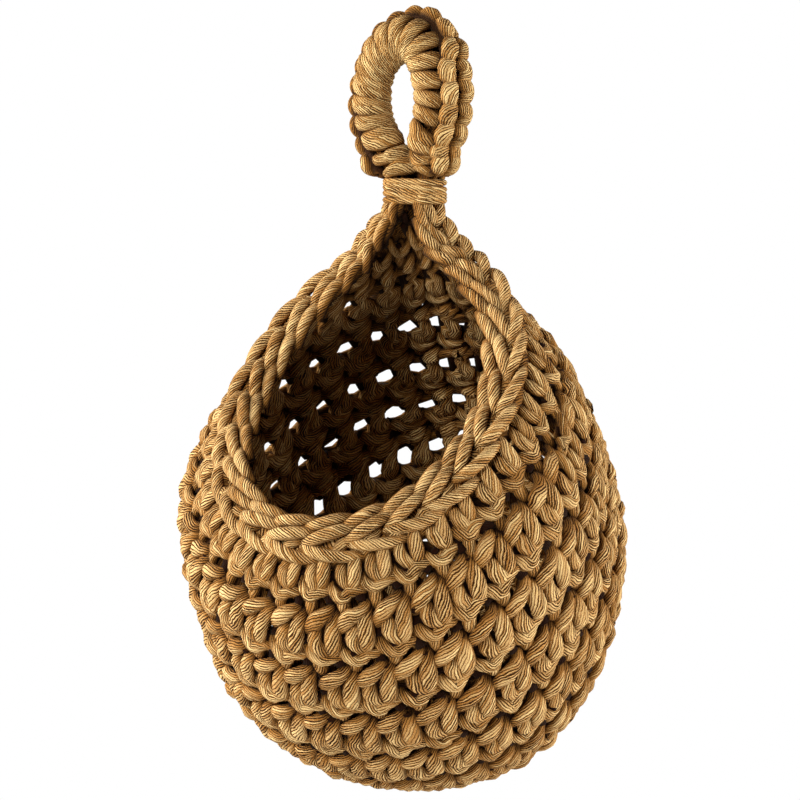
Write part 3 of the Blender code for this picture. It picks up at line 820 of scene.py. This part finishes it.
def cover_cords():
    """Two turns round the core for each stitch, and the chain: a flat bed and two leaves on it.

    A cord's centre = the loop's line + its radius x the fullness towards its angle, which is
    counted round the section from the middle of the chain. A turn starts and ends beside the
    chain, and is fullest half way, by the sine of its share.
    """
    chance = np.random.default_rng(21)
    whole = loop_line()[1][-1]
    centre, out, forward = along_loop(np.linspace(COVER_START, whole - COVER_START, COVER_ROWS))
    share = np.linspace(0.0, 1.0, COVER_ROWS)
    centre = centre + COVER_TOP_LIFT * bell(share, 0.5, 0.14)[:, None] * out
    outer_length = length_along(centre + COVER_OUTER * out)
    chain_turn = np.interp(share, *np.transpose(chain_turns))
    fullness = np.interp(share, *np.transpose(fullness_shares))
    stitch = np.arange(COVER_STITCHES)[:, None]
    groups = []

    def at_place(along, turn, radius):
        """Middle and facing of cords at a stitch along the loop, an angle from the chain and a radius."""
        reach = along / COVER_STITCHES * outer_length[-1]
        middle, outward, to_front = (read_off(reach, outer_length, rows) for rows in (centre, out, forward))
        turn = turn + np.interp(reach, outer_length, chain_turn)
        facing = np.cos(turn)[..., None] * unit(outward) + np.sin(turn)[..., None] * to_front
        return middle + (radius * np.interp(reach, outer_length, fullness))[..., None] * facing, facing

    def lay(along, turn, radius, wide, thick, outermost):
        """Add one cord for each stitch. Its depth, the outermost radius near it - its own, sets its painted
        shade.
        """
        tone = chance.uniform(0.0, 1.0, COVER_STITCHES)
        groups.append((*at_place(along, turn, radius), wide, thick, tone, outermost - radius))

    def jitter():
        """A small uneven step along the loop for each stitch."""
        return UNEVEN_COVER * chance.normal(0.0, 1.0, (COVER_STITCHES, 1))

    sweep = np.linspace(0.0, 1.0, COVER_STATIONS)
    bulge = np.sin(np.pi * sweep)
    turn = TURN_START + sweep * (math.tau - 2 * TURN_START)
    for first, slant in ((0.14, 0.16), (0.56, -0.1)):
        along = stitch + first + jitter() + 0.4 * bulge ** 1.3 + slant * np.cos(np.pi * sweep)
        radius = TURN_RADIUS + TURN_RISE * bulge ** 0.35
        half_stitch = at_place(along + 0.5, turn, radius)[0] - at_place(along, turn, radius)[0]
        room = np.clip(1.7 * np.linalg.norm(half_stitch, axis=-1), TURN_NARROWEST, TURN_WIDEST)
        wide, thick = room * (0.5 + 0.5 * bulge ** 0.4), TURN_THICK * (0.6 + 0.4 * bulge ** 0.4)
        lay(along, turn, radius, wide, thick, TURN_TOP)
    link = FIRST_CHAIN_LINK + CHAIN_PITCH * stitch
    lay(link - 0.2 + 1.4 * sweep, 0.0, BED_RADIUS, BED_WIDTH, BED_THICK, CHAIN_TOP)
    for side in (-1.0, 1.0):
        along = link - 0.05 + jitter() + 1.1 * sweep
        turn = side * (0.1 + 0.36 * bulge ** 0.8 * (1 - 0.25 * sweep))
        radius = LEAF_RADIUS + LEAF_RISE * bulge ** 0.7
        wide, thick = LEAF_WIDTH * (0.45 + 0.55 * bulge ** 0.7), LEAF_THICK * (0.5 + 0.5 * bulge)
        lay(along, turn, radius, wide, thick, CHAIN_TOP)
    return tube_mesh("cover_stitches", groups)


cover = cover_cords()
loop_cotton = cotton_material(
    "loop_cotton", light=(0.765, 0.545, 0.238), painted_shade_colour=(0.03, 0.011, 0.004), yarns=17.0, twist=5.0
)
cover.data.materials.append(loop_cotton)
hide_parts("loop_cover")
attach(cover, "loop")


# A thinner cotton cord is wound about five times round the foot of the loop and the
# gathered rim. It is pulled tight, and its middle turns slant across the others.
WRAP_TURNS = 5.2
STATIONS_PER_TURN = 40
WRAP_HALF_STRAIGHT = 0.0056
WRAP_BEND_RADIUS = 0.0056
WRAP_LIFT = 0.0013
WRAP_TALL = 0.0094
WRAP_CORD_WIDTH = 0.0026
WRAP_CORD_THICK = 0.0032
END_SLANT = 0.06
SLANT_CHANGE = 0.13
THIN_TURNS = 0.12
# Depth that sets the painted shade of the wound cord.
WRAP_DEPTH = 0.0026


def wound_cord():
    """Helix on an oval of two half circles and two straights, climbing one turn at a time.

    The turns slope up to the right at both ends of the wrap and down to the right in its
    middle. The cord thins at its own ends, which are tucked in.
    """
    count = int(WRAP_TURNS * STATIONS_PER_TURN)
    turn = np.linspace(0.0, WRAP_TURNS, count)
    straight, circle = WRAP_HALF_STRAIGHT, WRAP_BEND_RADIUS
    half_way = 2 * straight + math.pi * circle
    travel = np.mod(turn, 1.0) * 2 * half_way
    side = np.where(travel < half_way, 1.0, -1.0)
    travel = np.mod(travel, half_way)
    bend = np.clip(travel - straight, 0.0, math.pi * circle) / circle
    x = np.minimum(travel, straight) - np.maximum(travel - straight - math.pi * circle, 0.0)
    x = side * (x + circle * np.sin(bend))
    y = side * circle * np.cos(bend)
    slant = END_SLANT - SLANT_CHANGE * np.sin(np.pi * turn / WRAP_TURNS) ** 2
    z = NECK_HEIGHT + WRAP_LIFT + WRAP_TALL * (turn / WRAP_TURNS - 0.5) + slant * x
    centre = np.stack([x, y, z], axis=-1)[None]
    facing = unit(np.stack([x - np.clip(x, -straight, straight), y, 0 * z], axis=-1))[None]
    ends = np.clip(np.minimum(turn, WRAP_TURNS - turn) / THIN_TURNS, 0.0, 1.0) ** 0.5
    size = 0.5 + 0.5 * ends
    group = (centre, facing, WRAP_CORD_WIDTH * size, WRAP_CORD_THICK * size, np.array([0.5]), WRAP_DEPTH)
    return tube_mesh("wound_cord", [group])


wrap = wound_cord()
wrap_cotton = cotton_material(
    "wrap_cotton", light=(0.83, 0.6, 0.27), painted_shade_colour=(0.03, 0.011, 0.004), yarns=8.0, twist=2.2
)
wrap.data.materials.append(wrap_cotton)
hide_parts("neck_wrap")
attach(wrap, "loop")


# A plain pale floor lies below the hanging basket and takes its shadow. Seen by the
# camera or in a reflection it fades to white away from the middle, and to other
# light it is a plain matt board.
FLOOR_HEIGHT = -0.95
FLOOR_HALF_SIDE = 6.0
WHITE_FROM = 0.5
WHITE_AT = 1.6
MIDDLE_WHITE = 0.9


def seen_as_backdrop(nodes, links):
    """1 for rays from the camera, off gloss or through glass, else 0: their sum, held at 1."""
    path = nodes.new("ShaderNodeLightPath")
    total = path.outputs["Is Camera Ray"]
    for ray in ("Is Glossy Ray", "Is Transmission Ray"):
        both = nodes.new("ShaderNodeMath")
        both.operation = "ADD"
        both.use_clamp = True
        links.new(total, both.inputs[0])
        links.new(path.outputs[ray], both.inputs[1])
        total = both.outputs[0]
    return total


pale = bpy.data.materials.new("pale_floor")
pale.use_nodes = True
nodes, links = pale.node_tree.nodes, pale.node_tree.links
board = nodes["Principled BSDF"]
board.inputs["Base Color"].default_value = (0.82, 0.82, 0.82, 1.0)
board.inputs["Roughness"].default_value = 0.9
white = nodes.new("ShaderNodeEmission")
white.inputs["Strength"].default_value = 1.0
place = nodes.new("ShaderNodeTexCoord")
from_middle = nodes.new("ShaderNodeVectorMath")
from_middle.operation = "LENGTH"
whiteness = nodes.new("ShaderNodeMapRange")
whiteness.inputs["From Min"].default_value = WHITE_FROM
whiteness.inputs["From Max"].default_value = WHITE_AT
whiteness.inputs["To Min"].default_value = MIDDLE_WHITE
whiteness.inputs["To Max"].default_value = 1.0
share = nodes.new("ShaderNodeMath")
share.operation = "MULTIPLY"
fade = nodes.new("ShaderNodeMixShader")
links.new(place.outputs["Object"], from_middle.inputs[0])
links.new(from_middle.outputs["Value"], whiteness.inputs["Value"])
links.new(seen_as_backdrop(nodes, links), share.inputs[0])
links.new(whiteness.outputs["Result"], share.inputs[1])
links.new(share.outputs[0], fade.inputs[0])
links.new(board.outputs[0], fade.inputs[1])
links.new(white.outputs[0], fade.inputs[2])
links.new(fade.outputs[0], nodes["Material Output"].inputs[0])
square = ((-1, -1), (1, -1), (1, 1), (-1, 1))
corners = [(FLOOR_HALF_SIDE * x, FLOOR_HALF_SIDE * y, FLOOR_HEIGHT) for x, y in square]
floor_mesh = bpy.data.meshes.new("floor")
floor_mesh.from_pydata(corners, [], [(0, 1, 2, 3)])
floor_mesh.materials.append(pale)
floor = bpy.data.objects.new("floor", floor_mesh)
bpy.context.collection.objects.link(floor)


# Soft studio light: square lamps in front, above it and below it, at the left, at
# the right and behind, and a dim pale surround. The camera sees the surround white,
# and only its dim strength lights the basket.
SURROUND_STRENGTH = 0.05
LAMP_AIM = np.array((0.0, 0.0, -0.14))
world = bpy.data.worlds.new("surround")
bpy.context.scene.world = world
world.use_nodes = True
nodes, links = world.node_tree.nodes, world.node_tree.links
dim = nodes["Background"]
bright = nodes.new("ShaderNodeBackground")
for background, strength in ((dim, SURROUND_STRENGTH), (bright, 1.0)):
    background.inputs["Color"].default_value = (1.0, 1.0, 1.0, 1.0)
    background.inputs["Strength"].default_value = strength
choose = nodes.new("ShaderNodeMixShader")
links.new(seen_as_backdrop(nodes, links), choose.inputs[0])
links.new(dim.outputs[0], choose.inputs[1])
links.new(bright.outputs[0], choose.inputs[2])
links.new(choose.outputs[0], nodes["World Output"].inputs[0])


def stand_at(name, data, place, right, over, back):
    """New object at a place, its own x, y and z axes along three directions, as matrix columns."""
    holder = bpy.data.objects.new(name, data)
    bpy.context.collection.objects.link(holder)
    turned = np.eye(4)
    turned[:3] = np.column_stack([right, over, back, place])
    holder.matrix_world = Matrix(turned.tolist())
    return holder


def soft_lamp(name, place, size, power):
    """Square area lamp at a place, turned towards the basket's middle."""
    lamp = bpy.data.lights.new(name, "AREA")
    lamp.size = size
    lamp.energy = power
    away = unit(np.array(place) - LAMP_AIM)
    right = unit(np.cross((0.0, 0.0, 1.0), away))
    stand_at(name, lamp, place, right, np.cross(away, right), away)


soft_lamp("front_lamp", (-0.25, -1.16, 0.25), size=0.25, power=8.6)
soft_lamp("upper_lamp", (0.04, -0.96, 0.58), size=0.25, power=6.0)
soft_lamp("left_lamp", (-1.1, -0.4, 0.25), size=0.5, power=30.0)
soft_lamp("right_lamp", (1.1, 0.5, -0.1), size=0.6, power=25.0)
soft_lamp("back_lamp", (-0.4, 1.25, 0.2), size=0.6, power=9.0)
soft_lamp("low_lamp", (0.3, -0.95, -0.85), size=0.7, power=8.0)


# The camera stands in front, a little to the right and above, as in the photograph.
# It is level but for a small roll, and a small shift sets the basket in the frame.
AZIMUTH, ELEVATION, ROLL = math.radians(24.32), math.radians(8.51), math.radians(0.57)
CAMERA_AIM = np.array((0.0, 0.0, NECK_HEIGHT - 0.09))
CAMERA_DISTANCE = 0.90086
back = np.array((math.sin(AZIMUTH), -math.cos(AZIMUTH), math.tan(ELEVATION))) * math.cos(ELEVATION)
level = np.array((math.cos(AZIMUTH), math.sin(AZIMUTH), 0.0))
upright = np.cross(back, level)
right = level * math.cos(ROLL) + upright * math.sin(ROLL)
over = upright * math.cos(ROLL) - level * math.sin(ROLL)
lens = bpy.data.cameras.new("camera")
lens.sensor_fit = "HORIZONTAL"
lens.sensor_width = 36.0
lens.lens = 105.6
lens.shift_x = -0.0155
lens.shift_y = 0.0364
camera = stand_at("camera", lens, CAMERA_AIM + CAMERA_DISTANCE * back, right, over, back)
bpy.context.scene.camera = camera
bpy.context.scene.view_settings.view_transform = "Standard"
